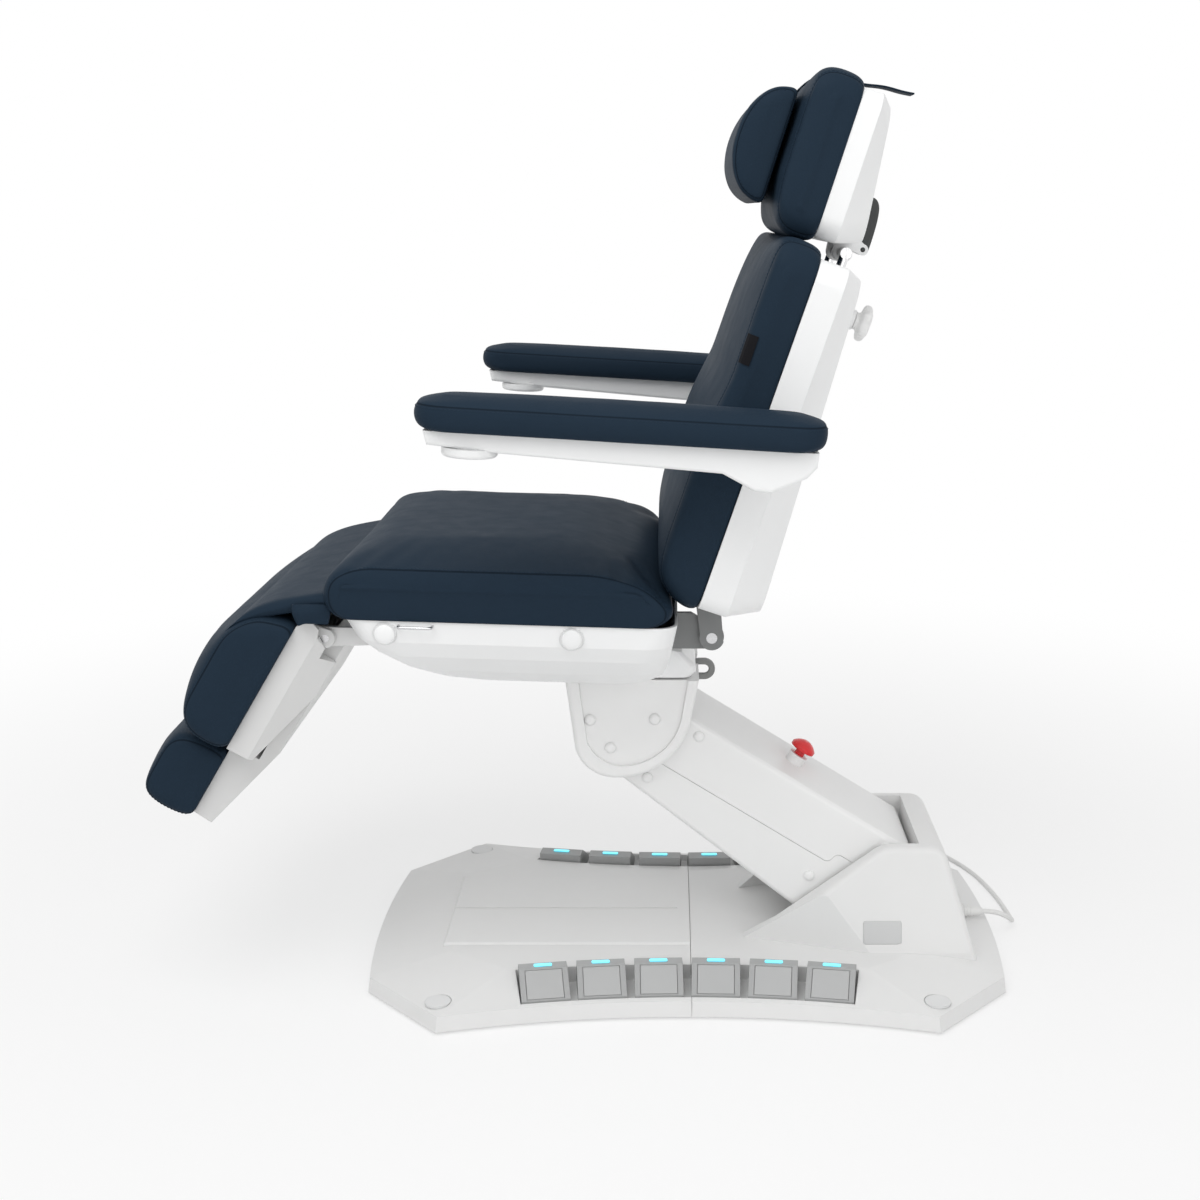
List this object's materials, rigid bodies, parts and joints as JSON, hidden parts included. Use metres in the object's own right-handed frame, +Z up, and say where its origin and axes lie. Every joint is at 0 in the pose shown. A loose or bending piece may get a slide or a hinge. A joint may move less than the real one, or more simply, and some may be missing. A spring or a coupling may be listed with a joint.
{
  "type": "electric procedure chair",
  "caption": "Electric procedure chair on a lift arm, with a pedal base, swivel seat, reclining back, sliding headrest, pivoting armrests, raising leg rest and sliding footrest.",
  "frame": {"origin": "on the floor under the middle of the chair's box, without the mains lead", "axes": "+Z up, +X towards the rear of the chair, so the patient faces -X and their left is -Y"},
  "size_m": [1.3189, 0.935, 1.3413],
  "materials": {
    "painted_steel": "satin",
    "cover_plastic": "fine grain",
    "shell_plastic": "smooth",
    "support_plastic": "fine grain",
    "cap_plastic": "satin",
    "foot_rubber": "matte",
    "bright_steel": "satin",
    "chrome_post": "polished",
    "motor_metal": "satin",
    "box_plastic": "matte",
    "cord_plastic": "satin",
    "pedal_grey": "satin",
    "stop_red": "smooth",
    "lever_grey": "satin",
    "grip_black": "matte",
    "upholstery": "coated, fine grain",
    "strap_fabric": "woven"
  },
  "bodies": {
    "base": {"base_frame": "painted_steel", "base_cover_front": "cover_plastic", "base_cover_rear": "cover_plastic", "levelling_feet": "foot_rubber", "foot_caps": "cap_plastic", "arm_pivot_pins": "bright_steel", "control_box": "box_plastic", "cord_gland": "cord_plastic", "mains_cord": "cord_plastic", "cord_coil": "cord_plastic", "mains_plug": "cord_plastic", "pedal_housings_left": "pedal_grey", "pedal_housings_right": "pedal_grey"},
    "lift_arm": {"lift_arm_frame": "painted_steel", "arm_cover_upper": "cover_plastic", "arm_cover_lower": "cover_plastic", "lift_gearmotor": "motor_metal"},
    "stop_button": {"stop_button": "stop_red"},
    "level_link": {"level_link": "painted_steel"},
    "yoke": {"yoke_frame": "painted_steel", "yoke_cover": "cover_plastic", "yoke_pins": "bright_steel"},
    "swivel_lever": {"swivel_lever": "lever_grey"},
    "seat": {"seat_frame": "painted_steel", "seat_shell": "shell_plastic", "seat_cushion": "upholstery", "seat_shell_caps": "cap_plastic", "strap_loops": "bright_steel", "seat_hinge_pins": "bright_steel", "seat_gearmotors": "motor_metal"},
    "back": {"back_frame": "painted_steel", "back_shell": "shell_plastic", "back_cushion": "upholstery"},
    "clamp_knob": {"clamp_knob": "cap_plastic"},
    "head_posts": {"head_posts": "chrome_post"},
    "head": {"head_shell": "shell_plastic", "head_cushion": "upholstery", "head_pillow": "upholstery", "pillow_strap": "strap_fabric"},
    "head_lever": {"head_lever": "grip_black"},
    "armrest_left": {"arm_support_left": "support_plastic", "arm_pad_left": "upholstery"},
    "armrest_right": {"arm_support_right": "support_plastic", "arm_pad_right": "upholstery"},
    "leg": {"leg_tray": "support_plastic", "leg_cushion": "upholstery"},
    "foot": {"foot_carriage": "support_plastic", "foot_cushion": "upholstery"},
    "pedal_left_1": {"pedal_left_1": "pedal_grey"},
    "pedal_left_2": {"pedal_left_2": "pedal_grey"},
    "pedal_left_3": {"pedal_left_3": "pedal_grey"},
    "pedal_left_4": {"pedal_left_4": "pedal_grey"},
    "pedal_left_5": {"pedal_left_5": "pedal_grey"},
    "pedal_left_6": {"pedal_left_6": "pedal_grey"},
    "pedal_right_1": {"pedal_right_1": "pedal_grey"},
    "pedal_right_2": {"pedal_right_2": "pedal_grey"},
    "pedal_right_3": {"pedal_right_3": "pedal_grey"},
    "pedal_right_4": {"pedal_right_4": "pedal_grey"},
    "pedal_right_5": {"pedal_right_5": "pedal_grey"},
    "pedal_right_6": {"pedal_right_6": "pedal_grey"}
  },
  "joints": [
    {"name": "lift", "type": "hinge", "parent": "base", "child": "lift_arm", "pos_m": [0.4397, 0, 0.157], "axis": [0, 1, 0], "range_deg": [-15, 22]},
    {"name": "level", "type": "hinge", "parent": "lift_arm", "child": "yoke", "pos_m": [0.07544, 0, 0.3855], "axis": [0, 1, 0], "range_deg": [-22, 15]},
    {"name": "link_swing", "type": "hinge", "parent": "base", "child": "level_link", "pos_m": [0.4277, 0, 0.107], "axis": [0, 1, 0], "range_deg": [-15, 22]},
    {"name": "swivel", "type": "hinge", "parent": "yoke", "child": "seat", "pos_m": [0.05544, 0, 0.4555], "axis": [0, 0, 1], "range_deg": [-120, 120]},
    {"name": "swivel_release", "type": "hinge", "parent": "yoke", "child": "swivel_lever", "pos_m": [0.12744, 0, 0.4555], "axis": [0, 0, 1], "range_deg": [0, 12], "stiffness_Nm_per_rad": 2},
    {"name": "recline", "type": "hinge", "parent": "seat", "child": "back", "pos_m": [0.17544, 0, 0.5455], "axis": [0, 1, 0], "range_deg": [0, 68]},
    {"name": "leg_raise", "type": "hinge", "parent": "seat", "child": "leg", "pos_m": [-0.36556, 0, 0.5695], "axis": [0, 1, 0], "range_deg": [-14, 58]},
    {"name": "foot_slide", "type": "slide", "parent": "leg", "child": "foot", "axis": [-0.5195, 0, -0.8545], "range_m": [0, 0.15]},
    {"name": "armrest_left_pivot", "type": "hinge", "parent": "back", "child": "armrest_left", "pos_m": [0.25568, 0, 0.83087], "axis": [0, 1, 0], "range_deg": [-68, 0]},
    {"name": "armrest_right_pivot", "type": "hinge", "parent": "back", "child": "armrest_right", "pos_m": [0.25568, 0, 0.83087], "axis": [0, 1, 0], "range_deg": [-68, 0]},
    {"name": "head_slide", "type": "slide", "parent": "back", "child": "head_posts", "axis": [0.3223, 0, 0.9466], "range_m": [0, 0.12]},
    {"name": "head_tilt", "type": "hinge", "parent": "head_posts", "child": "head", "pos_m": [0.36263, 0, 1.08918], "axis": [0, 1, 0], "range_deg": [0, 35]},
    {"name": "head_release", "type": "hinge", "parent": "head", "child": "head_lever", "pos_m": [0.39517, 0, 1.09239], "axis": [0, 1, 0], "range_deg": [0, 14], "stiffness_Nm_per_rad": 2},
    {"name": "knob_turn", "type": "hinge", "parent": "back", "child": "clamp_knob", "pos_m": [0.38793, 0, 0.98972], "axis": [0.9466, 0, -0.3223], "continuous": true},
    {"name": "stop_press", "type": "slide", "parent": "lift_arm", "child": "stop_button", "axis": [-0.5314, 0, -0.8471], "range_m": [0, 0.004], "stiffness_N_per_m": 1500},
    {"name": "pedal_left_1_press", "type": "hinge", "parent": "base", "child": "pedal_left_1", "pos_m": [-0.07208, -0.23357, 0.05123], "axis": [0.9884, 0.1521, 0], "range_deg": [0, 4], "stiffness_Nm_per_rad": 12},
    {"name": "pedal_left_2_press", "type": "hinge", "parent": "base", "child": "pedal_left_2", "pos_m": [0.01272, -0.22316, 0.05123], "axis": [0.9958, 0.0915, 0], "range_deg": [0, 4], "stiffness_Nm_per_rad": 12},
    {"name": "pedal_left_3_press", "type": "hinge", "parent": "base", "child": "pedal_left_3", "pos_m": [0.09799, -0.21794, 0.05123], "axis": [0.9995, 0.0305, 0], "range_deg": [0, 4], "stiffness_Nm_per_rad": 12},
    {"name": "pedal_left_4_press", "type": "hinge", "parent": "base", "child": "pedal_left_4", "pos_m": [0.18341, -0.21794, 0.05123], "axis": [0.9995, -0.0305, 0], "range_deg": [0, 4], "stiffness_Nm_per_rad": 12},
    {"name": "pedal_left_5_press", "type": "hinge", "parent": "base", "child": "pedal_left_5", "pos_m": [0.26868, -0.22316, 0.05123], "axis": [0.9958, -0.0915, 0], "range_deg": [0, 4], "stiffness_Nm_per_rad": 12},
    {"name": "pedal_left_6_press", "type": "hinge", "parent": "base", "child": "pedal_left_6", "pos_m": [0.35348, -0.23357, 0.05123], "axis": [0.9884, -0.1521, 0], "range_deg": [0, 4], "stiffness_Nm_per_rad": 12},
    {"name": "pedal_right_1_press", "type": "hinge", "parent": "base", "child": "pedal_right_1", "pos_m": [-0.07208, 0.23357, 0.05123], "axis": [-0.9884, 0.1521, 0], "range_deg": [0, 4], "stiffness_Nm_per_rad": 12},
    {"name": "pedal_right_2_press", "type": "hinge", "parent": "base", "child": "pedal_right_2", "pos_m": [0.01272, 0.22316, 0.05123], "axis": [-0.9958, 0.0915, 0], "range_deg": [0, 4], "stiffness_Nm_per_rad": 12},
    {"name": "pedal_right_3_press", "type": "hinge", "parent": "base", "child": "pedal_right_3", "pos_m": [0.09799, 0.21794, 0.05123], "axis": [-0.9995, 0.0305, 0], "range_deg": [0, 4], "stiffness_Nm_per_rad": 12},
    {"name": "pedal_right_4_press", "type": "hinge", "parent": "base", "child": "pedal_right_4", "pos_m": [0.18341, 0.21794, 0.05123], "axis": [-0.9995, -0.0305, 0], "range_deg": [0, 4], "stiffness_Nm_per_rad": 12},
    {"name": "pedal_right_5_press", "type": "hinge", "parent": "base", "child": "pedal_right_5", "pos_m": [0.26868, 0.22316, 0.05123], "axis": [-0.9958, -0.0915, 0], "range_deg": [0, 4], "stiffness_Nm_per_rad": 12},
    {"name": "pedal_right_6_press", "type": "hinge", "parent": "base", "child": "pedal_right_6", "pos_m": [0.35348, 0.23357, 0.05123], "axis": [-0.9884, -0.1521, 0], "range_deg": [0, 4], "stiffness_Nm_per_rad": 12}
  ],
  "couplings": [
    {"joint": "level", "follows": "lift", "ratio": -1},
    {"joint": "link_swing", "follows": "lift", "ratio": 1},
    {"joint": "armrest_left_pivot", "follows": "recline", "ratio": -1},
    {"joint": "armrest_right_pivot", "follows": "recline", "ratio": -1}
  ]
}
